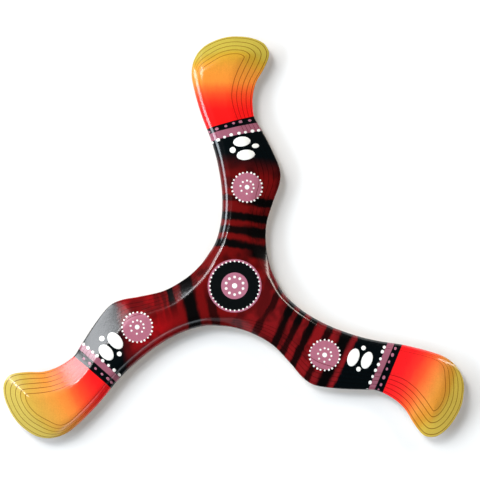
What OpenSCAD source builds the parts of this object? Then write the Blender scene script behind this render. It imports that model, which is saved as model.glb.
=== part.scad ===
// Three-blade returning boomerang, sanded from seven-ply birch plywood, for a right-handed throw.
// The origin is the centre of the hub, on the flat underside, and +Z points to the shaped face.
// The first blade points along +Y. Its blunt leading edge is on the -X side, and its long
// trailing bevel is on the +X side. Every veneer and every film of glue is a solid of its own.

/* [Size] */
// Distance from the centre of the hub to the far end of a blade
tip_radius = 162.4; // [130:0.1:200]
// Thickness of the finished plywood
thickness = 5; // [4:0.25:8]

/* [Plywood] */
// Thickness of each film of glue
glue_thickness = 0.1; // [0.05:0.05:0.2]

/* [Sanding] */
// Height of the upright edge that stays below the bevels
lip_height = 1.1; // [0.8:0.1:1.8]
// Radius of the rounding where the upright edge meets the underside
arris_radius = 0.4; // [0.2:0.1:0.6]
// Width of the bevels, as a share of the widths that the outline below gives
bevel_share = 1; // [0.7:0.05:1.1]

/* [Smoothness] */
// Number of straight edges between two points of the outline
edge_steps = 3; // [1:1:4]

/* [Hidden] */

blade_count = 3;
veneer_count = 7;
veneer_thickness = (thickness - (veneer_count - 1) * glue_thickness) / veneer_count;
pitch = veneer_thickness + glue_thickness;

// Outline of one blade, anticlockwise from the notch between it and the blade on its right.
// Each row is [edge x, edge y, crown x, crown y, roundness]. The crown is where the bevel that
// starts at that edge point reaches the flat top. Roundness 1 is a flat bevel, 2 a rounded one.
BLADE = [
    // notch and trailing edge, out to the narrow neck
    [22.6, 13.3, 15.8, 9.1, 1.3],
    [20.2, 25, 11, 23, 1.1],
    [20.3, 40, 8.6, 39, 1],
    [24.7, 55, 11, 57.5, 1],
    [28.7, 66.5, 12.7, 66, 1],
    [28.8, 76, 11.6, 75, 1],
    [23, 90, 8, 87, 1],
    [16.3, 102.8, 4, 98.5, 1],
    [12.4, 110.5, -1, 108.5, 1],
    [11.6, 121.5, -4.6, 120.5, 1],
    // trailing corner and the round end
    [13.6, 131.5, -3.9, 130.5, 1],
    [18.5, 140.5, -1.4, 139, 1],
    [21.9, 148.5, 1.6, 144.9, 1],
    [21.6, 153.5, 2.8, 146.9, 1],
    [17.8, 158.3, 1.3, 147.6, 1],
    [9.5, 161.5, -0.3, 147.6, 1],
    [-2, 162.2, -3.5, 147.2, 1],
    [-11.5, 160, -8.8, 145.4, 1],
    [-20.5, 155, -15, 141.6, 1],
    [-25.9, 147.5, -18.8, 138, 1.3],
    // leading edge, back to the next notch
    [-27.8, 138, -19.8, 135, 1.7],
    [-26.2, 127.5, -18.7, 128.5, 2],
    [-21.5, 111, -14.1, 112.8, 2],
    [-15.4, 95, -8.3, 96.8, 2],
    [-11.2, 80, -4.4, 81, 2],
    [-8.4, 62, -1.4, 62, 2],
    [-8.5, 45, -1.6, 44, 2],
    [-11.8, 30, -5.3, 27.5, 2],
    [-17.5, 20, -11.4, 16, 1.7]
];
drawn_radius = 162.4;
stretch = tip_radius / drawn_radius;

function turned(x, y, angle) = stretch * [
    x * cos(angle) - y * sin(angle),
    x * sin(angle) + y * cos(angle)
];
function turned_row(row, angle) =
    concat(turned(row[0], row[1], angle), turned(row[2], row[3], angle), row[4]);

ROWS = [
    for (blade = [0:blade_count - 1])
        for (row = BLADE) turned_row(row, blade * 360 / blade_count)
];

// Catmull-Rom curve from b to c as t goes from 0 to 1, with a before b and d after c
function curve(a, b, c, d, t) =
    b + t / 2 * (c - a + t * (2 * a - 5 * b + 4 * c - d + t * (3 * (b - c) + d - a)));
function row_at(i) = ROWS[(i + len(ROWS)) % len(ROWS)];

SHAPE = [
    for (i = [0:len(ROWS) - 1])
        for (step = [0:edge_steps - 1])
            curve(row_at(i - 1), row_at(i), row_at(i + 1), row_at(i + 2), step / edge_steps)
];

// Part of the way from the edge to the crown at a height, and the inset of the lower arris
function way_up(height) =
    min(1, max(0, (height - lip_height) / (thickness - lip_height)));
function inward(height, roundness) = bevel_share * (1 - pow(1 - way_up(height), 1 / roundness));
function inset(height) =
    arris_radius - sqrt(pow(arris_radius, 2) - pow(max(0, arris_radius - height), 2));

// The boomerang's closed outline at one height
function ring(height) = [
    for (row = SHAPE)
        let (edge = [row[0], row[1]])
        let (across = [row[2], row[3]] - edge)
        let (moved = inward(height, row[4]) * across + inset(height) * across / norm(across))
        [edge.x + moved.x, edge.y + moved.y, height]
];

// Heights, besides a sheet's own faces, where its edge bends
BENDS = [0.3 * arris_radius, arris_radius, lip_height, thickness - 0.35, thickness - 0.1];
smallest_step = 0.02;

// Triangles that fill an outline: rungs across each blade from its notch to its end, and the hub
function rungs(start, count, per_blade) = [
    for (k = [0:floor(per_blade / 2) - 1])
        let (right = start + k)
        let (left = (start + per_blade - k) % count)
        let (next_left = start + per_blade - k - 1)
        each concat(
            [[right, right + 1, left]],
            right + 1 < next_left ? [[right + 1, next_left, left]] : []
        )
];
function filling(count) =
    let (per_blade = count / blade_count)
    let (starts = [for (blade = [0:blade_count - 1]) blade * per_blade])
    concat([starts], [for (start = starts) each rungs(start, count, per_blade)]);
function lifted(faces, by) = [for (f = faces) [for (i = [len(f) - 1:-1:0]) f[i] + by]];

// One sheet of the plywood, from a lower to an upper height
module sheet(low, high) {
    bends = [for (h = BENDS) if (h > low + smallest_step && h < high - smallest_step) h];
    levels = concat(low, bends, high);
    count = len(SHAPE);
    under = filling(count);
    above = lifted(under, (len(levels) - 1) * count);
    walls = [
        for (level = [0:len(levels) - 2])
            for (i = [0:count - 1])
                let (a = level * count + i)
                let (b = level * count + (i + 1) % count)
                each [[a, a + count, b], [b, a + count, b + count]]
    ];
    polyhedron([for (h = levels) each ring(h)], concat(under, above, walls));
}

// Veneers count up from 1 at the underside, and film number n lies on top of veneer n
module veneer(number) {
    sheet((number - 1) * pitch, (number - 1) * pitch + veneer_thickness);
}

module film(number) {
    sheet(number * pitch - glue_thickness, number * pitch);
}

module bottom_face_veneer() { color("burlywood") veneer(1); }
module cross_veneer_2() { color("firebrick") veneer(2); }
module long_veneer_3() { color("tomato") veneer(3); }
module core_veneer_4() { color("firebrick") veneer(4); }
module long_veneer_5() { color("tomato") veneer(5); }
module cross_veneer_6() { color("firebrick") veneer(6); }
module top_face_veneer() { color("orangered") veneer(7); }

module glue_film_1() { color("saddlebrown") film(1); }
module glue_film_2() { color("saddlebrown") film(2); }
module glue_film_3() { color("saddlebrown") film(3); }
module glue_film_4() { color("saddlebrown") film(4); }
module glue_film_5() { color("saddlebrown") film(5); }
module glue_film_6() { color("saddlebrown") film(6); }

bottom_face_veneer();
glue_film_1();
cross_veneer_2();
glue_film_2();
long_veneer_3();
glue_film_3();
core_veneer_4();
glue_film_4();
long_veneer_5();
glue_film_5();
cross_veneer_6();
glue_film_6();
top_face_veneer();
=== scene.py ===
import math

import bpy
import numpy as np
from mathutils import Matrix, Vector
from mathutils.bvhtree import BVHTree
from mathutils.geometry import barycentric_transform, delaunay_2d_cdt


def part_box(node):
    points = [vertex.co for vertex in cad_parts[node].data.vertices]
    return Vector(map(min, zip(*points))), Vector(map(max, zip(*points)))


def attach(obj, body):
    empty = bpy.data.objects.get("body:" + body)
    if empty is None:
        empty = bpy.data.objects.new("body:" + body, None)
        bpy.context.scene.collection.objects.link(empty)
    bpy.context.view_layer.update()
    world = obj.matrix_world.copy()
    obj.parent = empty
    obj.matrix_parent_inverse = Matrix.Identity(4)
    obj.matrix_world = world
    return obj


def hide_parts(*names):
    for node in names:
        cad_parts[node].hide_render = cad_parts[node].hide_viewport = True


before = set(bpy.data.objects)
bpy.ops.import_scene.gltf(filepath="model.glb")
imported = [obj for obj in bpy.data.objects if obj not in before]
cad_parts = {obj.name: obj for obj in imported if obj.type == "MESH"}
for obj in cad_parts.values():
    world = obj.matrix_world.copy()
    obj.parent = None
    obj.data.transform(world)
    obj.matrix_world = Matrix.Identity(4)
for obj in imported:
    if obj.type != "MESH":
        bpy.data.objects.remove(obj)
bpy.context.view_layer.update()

MM = 0.001
SCENE = bpy.context.scene
SCENE.view_settings.view_transform = "Standard"


# ------------------------------------------------------------------ camera

ELEVATION = math.radians(81.3)
DISTANCE = 2.0
SENSOR = 36.0
VIEW_WIDTH = 0.3051  # of the plane through the hub, in metres
BESIDE_HUB, ABOVE_HUB = 0.0034, 0.0301  # where the middle of the view falls


def make_camera():
    data = bpy.data.cameras.new("camera")
    data.sensor_width = SENSOR
    data.lens = SENSOR * DISTANCE / VIEW_WIDTH
    camera = bpy.data.objects.new("camera", data)
    aim = Vector((BESIDE_HUB, ABOVE_HUB, 0))
    back = Vector((0, -math.cos(ELEVATION), math.sin(ELEVATION)))
    camera.location = aim + DISTANCE * back
    camera.rotation_euler = (math.pi / 2 - ELEVATION, 0, 0)
    SCENE.collection.objects.link(camera)
    SCENE.camera = camera


make_camera()


# ------------------------------------------------------------------ the shaped surface, in mm

# One blade's outline, as in the CAD model: edge x and y, crown x and y, roundness
BLADE = [
    (22.6, 13.3, 15.8, 9.1, 1.3),
    (20.2, 25, 11, 23, 1.1),
    (20.3, 40, 8.6, 39, 1),
    (24.7, 55, 11, 57.5, 1),
    (28.7, 66.5, 12.7, 66, 1),
    (28.8, 76, 11.6, 75, 1),
    (23, 90, 8, 87, 1),
    (16.3, 102.8, 4, 98.5, 1),
    (12.4, 110.5, -1, 108.5, 1),
    (11.6, 121.5, -4.6, 120.5, 1),
    (13.6, 131.5, -3.9, 130.5, 1),
    (18.5, 140.5, -1.4, 139, 1),
    (21.9, 148.5, 1.6, 144.9, 1),
    (21.6, 153.5, 2.8, 146.9, 1),
    (17.8, 158.3, 1.3, 147.6, 1),
    (9.5, 161.5, -0.3, 147.6, 1),
    (-2, 162.2, -3.5, 147.2, 1),
    (-11.5, 160, -8.8, 145.4, 1),
    (-20.5, 155, -15, 141.6, 1),
    (-25.9, 147.5, -18.8, 138, 1.3),
    (-27.8, 138, -19.8, 135, 1.7),
    (-26.2, 127.5, -18.7, 128.5, 2),
    (-21.5, 111, -14.1, 112.8, 2),
    (-15.4, 95, -8.3, 96.8, 2),
    (-11.2, 80, -4.4, 81, 2),
    (-8.4, 62, -1.4, 62, 2),
    (-8.5, 45, -1.6, 44, 2),
    (-11.8, 30, -5.3, 27.5, 2),
    (-17.5, 20, -11.4, 16, 1.7),
]
BLADES = 3
EDGE_STEPS = 10
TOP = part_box("top_face_veneer")[1].z / MM
LIP = 1.1  # height of the upright edge
ARRIS = 0.4  # radius of the lower edge
SOFT_LIP = 0.7  # how far the lip's upper edge is rounded
CROWN_BLEND = 0.12  # how far the bevel and the flat top run into each other


def turned(points, degrees):
    """Points or directions turned anticlockwise about the hub."""
    turn = math.radians(degrees)
    matrix = np.array([[math.cos(turn), math.sin(turn)], [-math.sin(turn), math.cos(turn)]])
    return np.asarray(points, float) @ matrix


def all_blades():
    rows = np.array(BLADE, float)
    parts = []
    for blade in range(BLADES):
        angle = blade * 360 / BLADES
        edge, crown = turned(rows[:, 0:2], angle), turned(rows[:, 2:4], angle)
        parts.append(np.hstack([edge, crown, rows[:, 4:5]]))
    return np.vstack(parts)


def curve_through(rows, steps):
    """A closed Catmull-Rom curve through rows, with steps points to each of them."""
    a, b = np.roll(rows, 1, 0)[:, None], rows[:, None]
    c, d = np.roll(rows, -1, 0)[:, None], np.roll(rows, -2, 0)[:, None]
    t = (np.arange(steps) / steps)[None, :, None]
    points = b + t / 2 * (c - a + t * (2 * a - 5 * b + 4 * c - d + t * (3 * (b - c) + d - a)))
    return points.reshape(-1, rows.shape[1])


SHAPE = curve_through(all_blades(), EDGE_STEPS)
EDGE, ROUNDNESS = SHAPE[:, 0:2], SHAPE[:, 4:5]
ACROSS = SHAPE[:, 2:4] - EDGE
WIDTH = np.linalg.norm(ACROSS, axis=1, keepdims=True)
COUNT = len(SHAPE)


def summed_rise(u):
    left = 1 - np.minimum(u, 1)
    return u + left ** (ROUNDNESS + 1) / (ROUNDNESS + 1)


def rise(u):
    """Height of the bevel as a share, at u of the way from the edge to the crown."""
    return (summed_rise(u + CROWN_BLEND) - summed_rise(u - CROWN_BLEND)) / (2 * CROWN_BLEND)


def way_in(height):
    """How far in from the edge, as a share, the surface reaches a height."""
    wanted = (height - LIP) / (TOP - LIP)
    low, high = np.full((COUNT, 1), -0.5), np.full((COUNT, 1), 1 + CROWN_BLEND)
    for _ in range(40):
        middle = (low + high) / 2
        below = rise(middle) < wanted
        low, high = np.where(below, middle, low), np.where(below, high, middle)
    return (low + high) / 2


def ring(u):
    """The closed line round the boomerang at u of the way in."""
    height = LIP + (TOP - LIP) * rise(u)
    run = u * WIDTH
    under = np.clip(ARRIS - height, 0, ARRIS)
    inset = ARRIS - np.sqrt(ARRIS**2 - under**2)
    inward = (run + np.sqrt(run**2 + SOFT_LIP**2)) / 2 + inset
    return np.hstack([EDGE + ACROSS / WIDTH * inward, height])


def ring_normals(u):
    step = 1e-4
    here = ring(u)
    along = np.roll(here, -1, 0) - np.roll(here, 1, 0)
    upward = ring(u + step) - ring(u - step)
    normal = np.cross(along, upward)
    return normal / np.linalg.norm(normal, axis=1, keepdims=True)


def cap_faces(first):
    """Rungs across each blade from its notch to its end, and the hub, for the ring at first."""
    faces = []
    share = COUNT // BLADES
    starts = [blade * share for blade in range(BLADES)]
    faces.append([first + start for start in starts])
    for start in starts:
        for k in range(share // 2):
            right, left = start + k, (start + share - k) % COUNT
            inner = [right, right + 1]
            if right + 1 < start + share - k - 1:
                inner.append(start + share - k - 1)
            faces.append([first + i for i in [*inner, left]])
    return faces


# ------------------------------------------------------------------ meshes


def make_piece(name, points, faces, normals, material, slot):
    """A piece from points in mm, faces, and one normal for each corner of each face."""
    mesh = bpy.data.meshes.new(name)
    mesh.from_pydata([tuple(p) for p in np.asarray(points) * MM], [], faces)
    mesh.polygons.foreach_set("use_smooth", [True] * len(faces))
    mesh.normals_split_custom_set([tuple(n) for n in normals])
    mesh.materials.append(material)
    piece = bpy.data.objects.new(name, mesh)
    SCENE.collection.objects.link(piece)
    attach(piece, "root")
    return piece


def sheet_mesh(stations):
    """One sheet of the plywood, closed, from its rings counted upwards."""
    points = np.vstack([ring(u) for u in stations])
    tilts = np.vstack([ring_normals(u) for u in stations])
    faces, normals = [], []
    for level in range(len(stations) - 1):
        for i in range(COUNT):
            after = (i + 1) % COUNT
            face = [level * COUNT + i, level * COUNT + after]
            face += [face[1] + COUNT, face[0] + COUNT]
            faces.append(face)
            normals += [tilts[corner] for corner in face]
    for face in cap_faces(0):
        faces.append(face[::-1])
        normals += [(0, 0, -1)] * len(face)
    for face in cap_faces((len(stations) - 1) * COUNT):
        faces.append(face)
        normals += [(0, 0, 1)] * len(face)
    return points, faces, normals


def heights_between(low, high):
    """Heights of a sheet's rings: closer together where its edge bends."""
    bends = [ARRIS * (1 - math.cos(math.radians(a))) for a in (22.5, 45, 67.5, 90)]
    bends += [LIP + offset for offset in (-0.15, -0.06, -0.03, 0, 0.03, 0.06, 0.15)]
    even = list(np.linspace(low, high, 4 if high - low > 0.2 else 2))
    extra = [h for h in bends if low + 0.01 < h < high - 0.01]
    return sorted(set(even + extra))


def make_sheet(node, material, slot):
    low, high = (corner.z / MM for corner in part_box(node))
    if high > TOP - 0.01:
        start, end = way_in(low), np.full((COUNT, 1), 1 + CROWN_BLEND)
        stations = [start + (end - start) * share for share in np.linspace(0, 1, 14)]
    else:
        stations = [way_in(height) for height in heights_between(low, high)]
    piece = make_piece(node + "_shaped", *sheet_mesh(stations), material, slot)
    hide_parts(node)
    return piece


class Skin:
    """The whole shaped surface above the lip, for laying paint on it."""

    def __init__(self):
        start, end = way_in(LIP + 0.1), np.full((COUNT, 1), 1 + CROWN_BLEND)
        stations = [start + (end - start) * share for share in np.linspace(0, 1, 40)]
        points, faces, normals = sheet_mesh(stations)
        walls = (len(stations) - 1) * COUNT
        self.points = [Vector(p) for p in points]
        self.corners, self.tilts = [], []
        at = 0
        for index, face in enumerate(faces):
            tilts = [Vector(n) for n in normals[at:at + len(face)]]
            at += len(face)
            if index >= walls and tilts[0].z < 0:
                continue
            for k in range(1, len(face) - 1):
                self.corners.append((face[0], face[k], face[k + 1]))
                self.tilts.append((tilts[0], tilts[k], tilts[k + 1]))
        self.tree = BVHTree.FromPolygons(self.points, self.corners, all_triangles=True)

    def at(self, x, y):
        """The point on the surface over (x, y), or the nearest one to it, and its normal."""
        place, _, index, _ = self.tree.ray_cast(Vector((x, y, 20)), Vector((0, 0, -1)))
        if place is None:
            place, _, index, _ = self.tree.find_nearest(Vector((x, y, LIP)))
        corners = [self.points[i] for i in self.corners[index]]
        tilt = barycentric_transform(place, *corners, *self.tilts[index])
        return place, tilt.normalized()


SKIN = Skin()


class Paint:
    """Pieces of paint laid on the surface, gathered into one closed mesh for each layer."""

    def __init__(self):
        self.points, self.faces, self.normals = [], [], []

    def lay(self, x, y, lift):
        place, tilt = SKIN.at(x, y)
        self.points.append(place + tilt * lift)
        return len(self.points) - 1, tilt

    def dome(self, centre, radii, tilt_degrees, height, base=0.0, segments=20):
        """A round or oval dot with a rounded edge."""
        profile = [(0.5, 1), (0.8, 0.95), (0.92, 0.75), (0.98, 0.42), (1, 0.05), (1, None)]
        turn = math.radians(tilt_degrees)
        along = np.array([math.cos(turn), math.sin(turn)])
        beside = np.array([-along[1], along[0]])
        middle, up = self.lay(*centre, base + height)
        rings, slopes = [], []
        for reach, share in profile:
            row, tilts = [], []
            for k in range(segments):
                angle = 2 * math.pi * k / segments
                out = along * math.cos(angle) * radii[0] + beside * math.sin(angle) * radii[1]
                spot = np.asarray(centre) + out * reach
                lift = base - 0.04 if share is None else base + height * share
                index, normal = self.lay(*spot, lift)
                lean = Vector((*(out / np.linalg.norm(out)), 0)) * (reach**12 * 0.5)
                row.append(index)
                tilts.append((normal + lean).normalized())
            rings.append(row)
            slopes.append(tilts)
        for k in range(segments):
            after = (k + 1) % segments
            self.faces.append([middle, rings[0][k], rings[0][after]])
            self.normals += [up, slopes[0][k], slopes[0][after]]
            for level in range(len(rings) - 1):
                inner, outer = rings[level], rings[level + 1]
                self.faces.append([inner[k], outer[k], outer[after], inner[after]])
                self.normals += [slopes[level][k], slopes[level + 1][k]]
                self.normals += [slopes[level + 1][after], slopes[level][after]]
        self.faces.append(rings[-1][::-1])
        self.normals += [-up] * segments

    def patch(self, outline, lift, base=-0.04, spacing=1.2):
        """A flat coat of paint inside an outline, following the surface."""
        outline = np.asarray(outline, float)
        low, high = outline.min(0), outline.max(0)
        inside = []
        for x in np.arange(low[0], high[0], spacing):
            for y in np.arange(low[1], high[1], spacing):
                if clear_inside(outline, (x, y), spacing * 0.45):
                    inside.append((x, y))
        flat = [Vector(p) for p in [*outline, *inside]]
        count = len(outline)
        loop = [(i, (i + 1) % count) for i in range(count)]
        spots, _, faces, *_ = delaunay_2d_cdt(flat, loop, [], 1, 1e-6)
        upper = [self.lay(*spot, lift) for spot in spots]
        lower = [self.lay(*spot, base)[0] for spot in spots]
        used = {}
        for face in faces:
            self.faces.append([upper[i][0] for i in face])
            self.normals += [upper[i][1] for i in face]
            self.faces.append([lower[i] for i in reversed(face)])
            self.normals += [-upper[i][1] for i in reversed(face)]
            for a, b in zip(face, [*face[1:], face[0]]):
                used[(a, b)] = True
        for a, b in used:
            if (b, a) in used:
                continue
            run = spots[b] - spots[a]
            out = Vector((run.y, -run.x, 0)).normalized()
            self.faces.append([upper[b][0], upper[a][0], lower[a], lower[b]])
            self.normals += [out] * 4

    def finish(self, name, material, slot):
        return make_piece(name, self.points, self.faces, self.normals, material, slot)


def clear_inside(outline, point, margin):
    """Whether a point lies inside an outline and further than margin from it."""
    p = np.asarray(point)
    a, b = outline, np.roll(outline, -1, 0)
    run = b - a
    share = np.clip(((p - a) * run).sum(1) / (run**2).sum(1), 0, 1)
    if np.linalg.norm(a + run * share[:, None] - p, axis=1).min() < margin:
        return False
    crosses = (a[:, 1] > p[1]) != (b[:, 1] > p[1])
    rows = np.where(crosses)[0]
    at = a[rows, 0] + (p[1] - a[rows, 1]) * run[rows, 0] / run[rows, 1]
    return (at > p[0]).sum() % 2 == 1


# ------------------------------------------------------------------ materials


class Wiring:
    """Short ways to add nodes to one material."""

    def __init__(self, name):
        self.material = bpy.data.materials.new(name)
        self.material.use_nodes = True
        self.nodes = self.material.node_tree.nodes
        self.links = self.material.node_tree.links
        self.shader = self.nodes["Principled BSDF"]
        place = self.nodes.new("ShaderNodeTexCoord").outputs["Object"]
        in_mm = self.nodes.new("ShaderNodeVectorMath")
        in_mm.operation = "SCALE"
        in_mm.inputs["Scale"].default_value = 1 / MM
        self.links.new(place, in_mm.inputs[0])
        self.place = in_mm.outputs[0]
        split = self.nodes.new("ShaderNodeSeparateXYZ")
        self.links.new(self.place, split.inputs[0])
        self.x, self.y, self.z = split.outputs

    def put(self, socket, value):
        if isinstance(value, bpy.types.NodeSocket):
            self.links.new(value, socket)
        elif socket.type == "RGBA":
            socket.default_value = (*value, 1)
        else:
            socket.default_value = value

    def math(self, operation, *values, clamp=False):
        node = self.nodes.new("ShaderNodeMath")
        node.operation = operation
        node.use_clamp = clamp
        for socket, value in zip(node.inputs, values):
            self.put(socket, value)
        return node.outputs[0]

    def mix(self, share, first, second, blend="MIX"):
        node = self.nodes.new("ShaderNodeMix")
        node.data_type = "RGBA"
        node.blend_type = blend
        self.put(node.inputs[0], share)
        self.put(node.inputs[6], first)
        self.put(node.inputs[7], second)
        return node.outputs[2]

    def ramp(self, value, stops, smooth=True):
        """A colour ramp whose stops are (value, colour or grey)."""
        node = self.nodes.new("ShaderNodeValToRGB")
        low, high = stops[0][0], stops[-1][0]
        node.color_ramp.interpolation = "EASE" if smooth else "LINEAR"
        elements = node.color_ramp.elements
        while len(elements) < len(stops):
            elements.new(0.5)
        for element, (at, colour) in zip(elements, stops):
            element.position = (at - low) / (high - low)
            colour = (colour,) * 3 if isinstance(colour, (int, float)) else colour
            element.color = (*colour, 1)
        share = self.math("DIVIDE", self.math("SUBTRACT", value, low), high - low, clamp=True)
        self.put(node.inputs[0], share)
        return node.outputs[0]

    def noise(self, stretch, scale, detail=3.0, roughness=0.6):
        """Noise over the place in mm, stretched by (x, y, z) first."""
        node = self.nodes.new("ShaderNodeTexNoise")
        mapping = self.nodes.new("ShaderNodeMapping")
        mapping.inputs["Scale"].default_value = stretch
        self.links.new(self.place, mapping.inputs[0])
        self.links.new(mapping.outputs[0], node.inputs["Vector"])
        node.inputs["Scale"].default_value = scale
        node.inputs["Detail"].default_value = detail
        node.inputs["Roughness"].default_value = roughness
        return node.outputs["Fac"]

    def step(self, value, at, soft=0.25):
        """0 below at and 1 above it."""
        return self.math("DIVIDE", self.math("SUBTRACT", value, at - soft / 2), soft, clamp=True)

    def bump(self, height, strength, distance):
        node = self.nodes.new("ShaderNodeBump")
        node.inputs["Strength"].default_value = strength
        node.inputs["Distance"].default_value = distance
        self.put(node.inputs["Height"], height)
        return node.outputs["Normal"]


# Black ink, with a faint blue-green tint that is a painted reflection of a bluish sheen
BLACK = (0.0005, 0.0021, 0.003)
# The black of the smoky rings, also used as painted shade over the trailing side
RING_AND_SHADE_BLACK = (0.0012, 0.0008, 0.0008)
PINK = (0.42, 0.138, 0.2)
BAND_PINK = (0.33, 0.105, 0.155)
BIRCH = (0.62, 0.42, 0.235)
DARK_BIRCH = (0.55, 0.34, 0.17)
GLUE = (0.42, 0.28, 0.22)  # how it darkens the stain

# The stain at each distance from the hub, in mm
STAIN_UPPER = [
    (0, (0.15, 0.0028, 0.0028)),
    (30, (0.15, 0.003, 0.003)),
    (50, (0.14, 0.003, 0.003)),
    (68, (0.17, 0.0035, 0.0035)),
    (76, (0.11, 0.003, 0.003)),
    (98, (0.11, 0.003, 0.003)),
    (102, (0.93, 0.007, 0.008)),
    (114, (0.95, 0.011, 0.01)),
    (119, (0.95, 0.03, 0.013)),
    (124, (0.94, 0.075, 0.018)),
    (128, (0.92, 0.15, 0.025)),
    (132, (0.88, 0.26, 0.034)),
    (142, (0.73, 0.29, 0.034)),
    (147, (0.62, 0.31, 0.028)),
    (152, (0.54, 0.33, 0.028)),
    (157, (0.51, 0.39, 0.052)),
    (165, (0.51, 0.4, 0.058)),
]
STAIN_RIGHT = [
    (0, (0.15, 0.0028, 0.0028)),
    (25, (0.22, 0.007, 0.009)),
    (38, (0.2, 0.006, 0.008)),
    (60, (0.22, 0.006, 0.008)),
    (82, (0.18, 0.008, 0.011)),
    (106, (0.93, 0.009, 0.013)),
    (119, (0.93, 0.015, 0.018)),
    (125, (0.93, 0.035, 0.022)),
    (131, (0.93, 0.095, 0.028)),
    (137, (0.86, 0.22, 0.045)),
    (142, (0.78, 0.29, 0.048)),
    (147, (0.68, 0.27, 0.032)),
    (152, (0.62, 0.31, 0.034)),
    (157, (0.62, 0.43, 0.06)),
    (165, (0.62, 0.45, 0.07)),
]
STAIN_LEFT = [
    (0, (0.15, 0.0028, 0.0028)),
    (35, (0.15, 0.003, 0.0035)),
    (45, (0.2, 0.003, 0.004)),
    (54, (0.32, 0.003, 0.005)),
    (66, (0.3, 0.004, 0.007)),
    (78, (0.14, 0.0035, 0.005)),
    (98, (0.93, 0.009, 0.012)),
    (107, (0.95, 0.013, 0.014)),
    (112, (0.95, 0.03, 0.018)),
    (117, (0.95, 0.06, 0.02)),
    (122, (0.93, 0.115, 0.026)),
    (127, (0.88, 0.215, 0.036)),
    (133, (0.78, 0.275, 0.042)),
    (140, (0.7, 0.32, 0.05)),
    (150, (0.6, 0.38, 0.058)),
    (157, (0.58, 0.43, 0.085)),
    (165, (0.57, 0.44, 0.09)),
]

# Each blade's turn, clockwise from +Y, and its artwork in its own x and y, in mm: the soft black
# rings (distance, half width, strength) at the leading and the trailing side are printed smoke,
# and the trailing set also paints shade over the trailing side; skew slants them, bands are the
# lines (y at x = 0, slope) under the pink band, between it and the black band, and above that one.
ART = [
    {
        "name": "upper",
        "turn": 0,
        "stain": STAIN_UPPER,
        "skew": 0.12,
        "soot_leading": [(27, 3.8, 1), (36, 3.4, 0.97), (44.8, 3.6, 1), (56.3, 2.6, 0.8)],
        "dark_rings_and_shade_trailing": [(24, 6.8, 1), (36.1, 5, 1), (44.9, 3.8, 1), (55.7, 4.2, 1)],
        "black_from": (71, 85.5),
        "bands": [(96.8, 0.225), (102.2, 0.249), (106.5, 0.285)],
        "rosette": (7.9, 63.3),
        "ovals": [(4.6, 92.8, 5.5, 3.2, 8), (7.1, 84.2, 5.8, 3.3, 8)],
        "spots": [(-1.2, 87.3, 1.95, 1.95), (13.3, 90.3, 2.3, 1.5)],
        "beads": [(-14.6, 92.5), (-10.5, 94), (-6.4, 95.7), (-2.2, 97.2), (2.8, 98.2), (6.9, 99),
                  (11.4, 100), (15.3, 100.7)],
        "band_dots": [(-16.6, 99.5), (-11.4, 101), (-5.6, 102.8), (-0.7, 104.7), (3.7, 105.8),
                      (9.6, 107)],
    },
    {
        "name": "right",
        "turn": 120,
        "stain": STAIN_RIGHT,
        "skew": -0.06,
        "soot_leading": [(26.8, 3.2, 0.9), (37.8, 4, 1), (45.8, 3.4, 1), (54.8, 3.6, 1),
                         (66.1, 3.2, 0.95), (77.3, 5.2, 1)],
        "dark_rings_and_shade_trailing": [(25, 3.4, 0.85), (39, 3.6, 0.97), (45.8, 3, 0.92), (55, 3.4, 0.97),
                          (67, 3, 0.9), (77.3, 5, 1)],
        "black_from": (83.3, 85.3),
        "bands": [(103.9, 0.131), (107.8, 0.11), (113, 0.133)],
        "rosette": (9.7, 71.2),
        "ovals": [(-0.7, 95.9, 5.6, 3.3, 8), (2, 87.6, 5.9, 3.5, 8)],
        "spots": [(6.8, 94.1, 1.5, 1.45), (-6.4, 90.2, 1.5, 1.45)],
        "beads": [(-13.5, 101.3), (-10.3, 101.7), (-5.8, 102.9), (-2, 103.6), (2.1, 103.8),
                  (6.3, 104.1),
                  (10.2, 104.6), (15.2, 105.3)],
        "band_dots": [(-16.3, 107.7), (-11.7, 108.2), (-6.8, 108.5), (-2.2, 109.6), (3.3, 110.5),
                      (8, 111.2), (11.6, 111.4)],
    },
    {
        "name": "left",
        "turn": 240,
        "stain": STAIN_LEFT,
        "skew": 0.3,
        "soot_leading": [(17.5, 4, 0.85), (31.3, 6, 1)],
        "dark_rings_and_shade_trailing": [(31, 6.8, 1), (42.3, 3.2, 1), (47.4, 1.8, 0.6), (52.2, 2.8, 0.5)],
        "black_from": (72.5, 83),
        "bands": [(96, 0.302), (100.2, 0.334), (105.8, 0.35)],
        "rosette": (8, 66.4),
        "ovals": [(3.8, 91.3, 5.8, 3.8, 10), (7.4, 82.7, 6.2, 3.9, 10)],
        "spots": [(-1.2, 84.6, 1.55, 1.5), (13, 89.3, 1.75, 1.75)],
        "beads": [(-12.4, 91.1), (-8.5, 92.5), (-4.1, 94.1), (0.3, 95.8), (4.8, 97.3), (8.4, 98.5),
                  (12.4, 99.8), (15.9, 101.1)],
        "band_dots": [(-14.1, 97.8), (-11.2, 98.6), (-6.9, 100.4), (-1.8, 102.2), (3, 103.8),
                      (7.6, 105.5)],
    },
]
DISC_RADIUS = 9.3


def ring_and_shade_stops(rings):
    """Grey stops of the soft black rings along a blade: printed smoke, and on the trailing side painted
    shade too.
    """
    stops = [(0, 0.0)]
    for at, half_width, strength in rings:
        stops += [(at - half_width, 0.0), (at - half_width * 0.5, strength)]
        stops += [(at + half_width * 0.5, strength), (at + half_width, 0.0)]
    return [*stops, (165, 0.0)]


def beyond(w, line, along, across):
    """1 on the far side of a line (y at x = 0, slope) across a blade."""
    at, slope = line
    return w.step(w.math("MULTIPLY_ADD", across, -slope, along), at)


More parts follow.
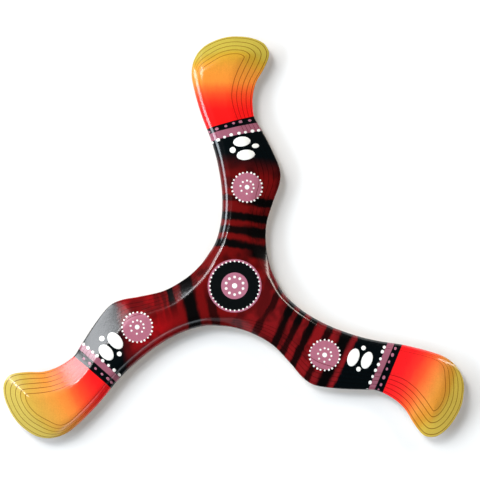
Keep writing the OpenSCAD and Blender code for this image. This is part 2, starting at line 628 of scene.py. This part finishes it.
def blade_colour(w, art, along, across, wobble):
    """The stain and ink of one blade, with painted shade on its trailing side."""
    tip = w.math("MULTIPLY", w.step(along, 140, 12), w.math("SUBTRACT", 1.0, w.step(w.z, 3, 3)))
    reach = w.math("MULTIPLY_ADD", tip, 9.0, w.math("ADD", along, wobble))
    colour = w.ramp(reach, art["stain"], smooth=False)
    slanted = w.math("MULTIPLY_ADD", across, art["skew"], w.math("ADD", along, wobble))
    leading = w.ramp(slanted, ring_and_shade_stops(art["soot_leading"]))
    trailing = w.ramp(slanted, ring_and_shade_stops(art["dark_rings_and_shade_trailing"]))
    # Painted shade: past the middle of the blade the trailing rings take over and darken the trailing
    # side
    dark_rings_and_shade = w.mix(w.step(across, 6, 12), leading, trailing)
    smoke = w.ramp(w.noise((1, 1, 1), 0.075, 2), [(0.46, 0.0), (0.66, 0.6)])
    near_hub = w.step(w.math("MULTIPLY", along, -1.0), -80, 12)
    dark_rings_and_shade = w.math("MAXIMUM", dark_rings_and_shade, w.math("MULTIPLY", smoke, near_hub))
    colour = w.mix(dark_rings_and_shade, colour, RING_AND_SHADE_BLACK)
    under_pink, pink_end, black_end = (beyond(w, line, along, across) for line in art["bands"])
    zone = w.ramp(slanted, [(art["black_from"][0], 0.0), (art["black_from"][1], 1.0)])
    zone = w.math("MULTIPLY", zone, w.math("SUBTRACT", 1.0, black_end))
    colour = w.mix(zone, colour, BLACK)
    colour = w.mix(w.math("SUBTRACT", under_pink, pink_end), colour, BAND_PINK)
    cx, cy = art["rosette"]
    off_x, off_y = w.math("SUBTRACT", across, cx), w.math("SUBTRACT", along, cy)
    squared = w.math("MULTIPLY_ADD", off_x, off_x, w.math("MULTIPLY", off_y, off_y))
    disc = w.math("SUBTRACT", 1.0, w.step(w.math("SQRT", squared), DISC_RADIUS))
    return w.mix(disc, colour, PINK)


def artwork(w):
    """The whole painted pattern, with painted shade on the trailing sides, as one colour, from the
    place in the row frame.
    """
    wobble = w.math("MULTIPLY", w.math("SUBTRACT", w.noise((1, 0.35, 1), 0.35, 2.5), 0.5), 2.6)
    along, across = [], []
    for art in ART:
        turn = math.radians(art["turn"])
        sine, cosine = math.sin(turn), math.cos(turn)
        along.append(w.math("MULTIPLY_ADD", w.x, sine, w.math("MULTIPLY", w.y, cosine)))
        across.append(w.math("MULTIPLY_ADD", w.x, cosine, w.math("MULTIPLY", w.y, -sine)))
    colours = [blade_colour(w, art, a, b, wobble) for art, a, b in zip(ART, along, across)]
    is_right = w.math("GREATER_THAN", along[1], w.math("MAXIMUM", along[0], along[2]))
    is_left = w.math("GREATER_THAN", along[2], w.math("MAXIMUM", along[0], along[1]))
    colour = w.mix(is_right, colours[0], colours[1])
    return w.mix(is_left, colour, colours[2])


def lacquer(w):
    """Thick gloss lacquer, a little uneven."""
    w.put(w.shader.inputs["Coat Normal"], w.bump(w.noise((1, 1, 1), 0.8, 2), 0.17, 0.0002))
    w.shader.inputs["Roughness"].default_value = 0.4
    w.shader.inputs["Coat Weight"].default_value = 1.0
    w.shader.inputs["Coat Roughness"].default_value = 0.12
    w.shader.inputs["Coat IOR"].default_value = 1.5
    w.shader.inputs["Specular IOR Level"].default_value = 0.04


def wood_grain(w, lengthwise):
    """Fine fibres and broad streaks, each as noise from 0 to 1."""
    stretch = (1, 0.06, 1) if lengthwise else (0.06, 1, 1)
    fibres = w.noise(stretch, 1.6, 4)
    broad = w.noise((0.3, 0.05, 1) if lengthwise else (0.05, 0.3, 1), 0.5, 2)
    return fibres, broad


def grained(w, colour, lengthwise, amount=0.16, speckle=0.35):
    fibres, broad = wood_grain(w, lengthwise)
    shade = w.math("MULTIPLY_ADD", w.math("SUBTRACT", fibres, 0.5), amount, 1.0)
    broad_shade = w.math("MULTIPLY_ADD", w.math("SUBTRACT", broad, 0.5), amount, 1.0)
    shade = w.math("MULTIPLY", shade, broad_shade)
    specks = w.math("SUBTRACT", w.noise((1, 1, 1), 1.3, 2, 0.8), 0.5)
    shade = w.math("MULTIPLY", shade, w.math("MULTIPLY_ADD", specks, speckle, 1.0))
    node = w.nodes.new("ShaderNodeVectorMath")
    node.operation = "SCALE"
    w.put(node.inputs[0], colour)
    w.put(node.inputs["Scale"], shade)
    return node.outputs[0], fibres


def stained_wood(name, lengthwise):
    w = Wiring(name)
    colour, fibres = grained(w, artwork(w), lengthwise)
    w.put(w.shader.inputs["Base Color"], colour)
    w.put(w.shader.inputs["Normal"], w.bump(fibres, 0.06, 0.0002))
    lacquer(w)
    return w.material


def glue_film():
    w = Wiring("glue_film")
    colour = w.mix(1.0, artwork(w), GLUE, blend="MULTIPLY")
    w.put(w.shader.inputs["Base Color"], colour)
    lacquer(w)
    return w.material


def bare_birch():
    """The underside: clear-lacquered birch, with stain that ran a little way round the edge."""
    w = Wiring("bare_birch")
    streaks = w.mix(w.noise((0.4, 0.03, 1), 0.6, 3), BIRCH, DARK_BIRCH)
    birch, fibres = grained(w, streaks, True, 0.5, 0.1)
    side = w.step(w.z, 0.25, 0.25)
    w.put(w.shader.inputs["Base Color"], w.mix(side, birch, artwork(w)))
    w.put(w.shader.inputs["Normal"], w.bump(fibres, 0.08, 0.0002))
    lacquer(w)
    return w.material


def thick_paint(name, colour, other):
    w = Wiring(name)
    patchy = w.noise((1, 1, 1), 0.5, 3)
    w.put(w.shader.inputs["Base Color"], w.mix(patchy, colour, other))
    w.put(w.shader.inputs["Normal"], w.bump(w.noise((1, 1, 1), 1.2, 2), 0.05, 0.0002))
    lacquer(w)
    return w.material


WHITE_PAINT = thick_paint("white_paint", (0.96, 0.95, 0.91), (0.9, 0.89, 0.85))
PINK_PAINT = thick_paint("pink_paint", PINK, (0.44, 0.17, 0.25))
BLACK_PAINT = thick_paint("black_paint", BLACK, (0.004, 0.005, 0.005))


# ------------------------------------------------------------------ the plywood

FACE_WOOD = stained_wood("stained_face_veneer", True)
CROSS_WOOD = stained_wood("stained_cross_veneer", False)
LONG_WOOD = stained_wood("stained_long_veneer", True)
FILM = glue_film()
BARE = bare_birch()


def make_plywood():
    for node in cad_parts:
        if node.startswith("glue_film"):
            make_sheet(node, FILM, "glue_line")
        elif node == "bottom_face_veneer":
            make_sheet(node, BARE, "bare_veneer")
        elif node == "top_face_veneer":
            make_sheet(node, FACE_WOOD, "painted_face")
        else:
            wood = LONG_WOOD if node.startswith("long") else CROSS_WOOD
            make_sheet(node, wood, "stained_veneer")


make_plywood()


# ------------------------------------------------------------------ raised paint

INNER_DOTS = [129, 90, 58, 24, -8, -44, -93, -147, 169]  # their directions in a rosette
INNER_CIRCLE = 4.25  # the circle that they stand on
RIM_CIRCLE = 9.6  # the circle of the rosette's rim dots


def in_row_frame(points, art):
    return turned(points, -art["turn"])


def rosette_dots(paint, art):
    """Rosettes keep the same way up on every blade."""
    cx, cy = in_row_frame([art["rosette"]], art)[0]
    paint.dome((cx, cy), (1.5, 1.5), 0, 0.12)
    for degrees in INNER_DOTS:
        turn = math.radians(degrees)
        at = (cx + INNER_CIRCLE * math.cos(turn), cy + INNER_CIRCLE * math.sin(turn))
        paint.dome(at, (0.65, 0.65), 0, 0.1, segments=12)
    for k in range(24):
        turn = math.radians(k * 15 + 1.2 * math.sin(k * 2.1))
        size = 0.62 + 0.08 * math.sin(k * 1.7)
        at = (cx + RIM_CIRCLE * math.cos(turn), cy + RIM_CIRCLE * math.sin(turn))
        paint.dome(at, (size, size), 0, 0.1, segments=12)


def white_marks(art):
    paint = Paint()
    rosette_dots(paint, art)
    for x, y, half_length, half_width, tilt in art["ovals"]:
        centre = in_row_frame([(x, y)], art)[0]
        paint.dome(centre, (half_length, half_width), tilt - art["turn"], 0.12, segments=40)
    for x, y, half_length, half_width in art["spots"]:
        paint.dome(in_row_frame([(x, y)], art)[0], (half_length, half_width), 8 - art["turn"], 0.1)
    for k, bead in enumerate(art["beads"]):
        size = 0.95 + 0.12 * math.sin(k * 2.3)
        centre = in_row_frame([bead], art)[0]
        paint.dome(centre, (size * 1.15, size), 10 - art["turn"], 0.1, segments=14)
    paint.finish("white_marks_" + art["name"], WHITE_PAINT, "white_paint")


def pink_marks(art):
    paint = Paint()
    for k, dot in enumerate(art["band_dots"]):
        size = 0.8 + 0.14 * math.sin(k * 1.9)
        paint.dome(in_row_frame([dot], art)[0], (size * 1.3, size), 10 - art["turn"], 0.08, segments=14)
    paint.finish("pink_dots_" + art["name"], PINK_PAINT, "pink_ink")


for ART_OF_BLADE in ART:
    white_marks(ART_OF_BLADE)
    pink_marks(ART_OF_BLADE)


# ------------------------------------------------------------------ hub motif: a round disc of dots

DISC_RADIUS = 17.0
BORDER = 1.3  # the width of its pink rim
CENTRE_RADIUS = 8.5  # the pink disc in the middle
RIM_DOTS = 36
INNER_DOT_COUNT = 10
INNER_DOT_CIRCLE = 5.6


def around(radius, count):
    """Points round the middle of the hub, clockwise from the top."""
    turn = np.arange(count) * 2 * math.pi / count
    return radius * np.column_stack([np.sin(turn), np.cos(turn)])


def make_hub_motif():
    border = Paint()
    border.patch(around(DISC_RADIUS, 160), 0.06, spacing=0.8)
    border.finish("hub_disc_border", PINK_PAINT, "pink_ink")
    middle = Paint()
    middle.patch(around(DISC_RADIUS - BORDER, 160), 0.1, base=0.02, spacing=0.8)
    middle.finish("hub_disc_middle", BLACK_PAINT, "black_ink")
    centre = Paint()
    centre.patch(around(CENTRE_RADIUS, 80), 0.13, base=0.05, spacing=0.8)
    centre.finish("hub_disc_centre", PINK_PAINT, "pink_ink")
    dots = Paint()
    for x, y in around(DISC_RADIUS - BORDER, RIM_DOTS):
        dots.dome((x, y), (0.56, 0.56), 0, 0.08, base=0.08, segments=12)
    for x, y in around(INNER_DOT_CIRCLE, INNER_DOT_COUNT):
        dots.dome((x, y), (0.9, 0.9), 0, 0.1, base=0.1, segments=16)
    dots.dome((0, 0), (1.7, 1.7), 0, 0.1, base=0.1)
    dots.finish("hub_disc_dots", WHITE_PAINT, "white_paint")


make_hub_motif()


# ------------------------------------------------------------------ floor and light


FLOOR = -0.006  # below the underside, for a wide and soft shadow


def make_floor():
    mesh = bpy.data.meshes.new("floor")
    half = 6.0
    corners = [(-half, -half, 0), (half, -half, 0), (half, half, 0), (-half, half, 0)]
    mesh.from_pydata(corners, [], [(0, 1, 2, 3)])
    floor = bpy.data.objects.new("floor", mesh)
    SCENE.collection.objects.link(floor)
    floor.location.z = FLOOR
    w = Wiring("floor_paper")
    w.shader.inputs["Base Color"].default_value = (0.9, 0.9, 0.9, 1)
    w.shader.inputs["Roughness"].default_value = 0.9
    w.shader.inputs["Specular IOR Level"].default_value = 0.0
    mesh.materials.append(w.material)


def make_light(name, towards, distance, size, power, colour=(1, 1, 1), glossy=True):
    """A rectangular softbox that looks at the hub from a direction."""
    data = bpy.data.lights.new(name, "AREA")
    data.shape = "RECTANGLE"
    data.size, data.size_y = size
    data.energy = power
    data.color = colour
    light = bpy.data.objects.new(name, data)
    light.location = Vector(towards).normalized() * distance
    aim = Vector(towards).to_track_quat("Z", "Y")
    light.rotation_euler = aim.to_euler()
    light.visible_glossy = glossy
    SCENE.collection.objects.link(light)


def make_world():
    world = bpy.data.worlds.new("studio")
    world.use_nodes = True
    background = world.node_tree.nodes["Background"]
    background.inputs["Color"].default_value = (0.9, 0.95, 1.0, 1)
    background.inputs["Strength"].default_value = 0.015
    SCENE.world = world


CREAM = (1.0, 0.94, 0.86)
COOL_WHITE = (0.93, 0.96, 1.0)
WARM_WHITE = (1.0, 0.98, 0.95)
PALE_BLUE = (0.82, 0.92, 1.0)

make_floor()
make_world()
make_light("key_softbox", (-0.45, 0.455, 0.77), 3, (0.82, 0.66), 19.5, COOL_WHITE)
make_light("key_edge_softbox", (-0.25, 0.51, 0.82), 3, (0.25, 0.35), 0.7, COOL_WHITE)
make_light("right_softbox", (0.7, 0.59, 0.41), 3, (2.0, 0.4), 28, CREAM)
make_light("low_left_softbox", (-0.92, -0.05, 0.43), 3, (3.0, 0.8), 85, PALE_BLUE)
make_light("front_softbox", (0.36, -0.66, 0.66), 3, (1.8, 0.5), 6, PALE_BLUE)
make_light("low_front_softbox", (0.1, -0.75, 0.62), 3, (4.0, 1.2), 9, PALE_BLUE)
make_light("left_window", (-0.34, 0.31, 0.89), 3, (0.3, 0.2), 8)
make_light("shadow_maker", (-0.62, 0.58, 0.52), 3, (2.0, 2.0), 74, WARM_WHITE, glossy=False)
make_light("opposite_fill", (0.42, -0.4, 0.8), 2.5, (2.5, 2.5), 13, WARM_WHITE, glossy=False)
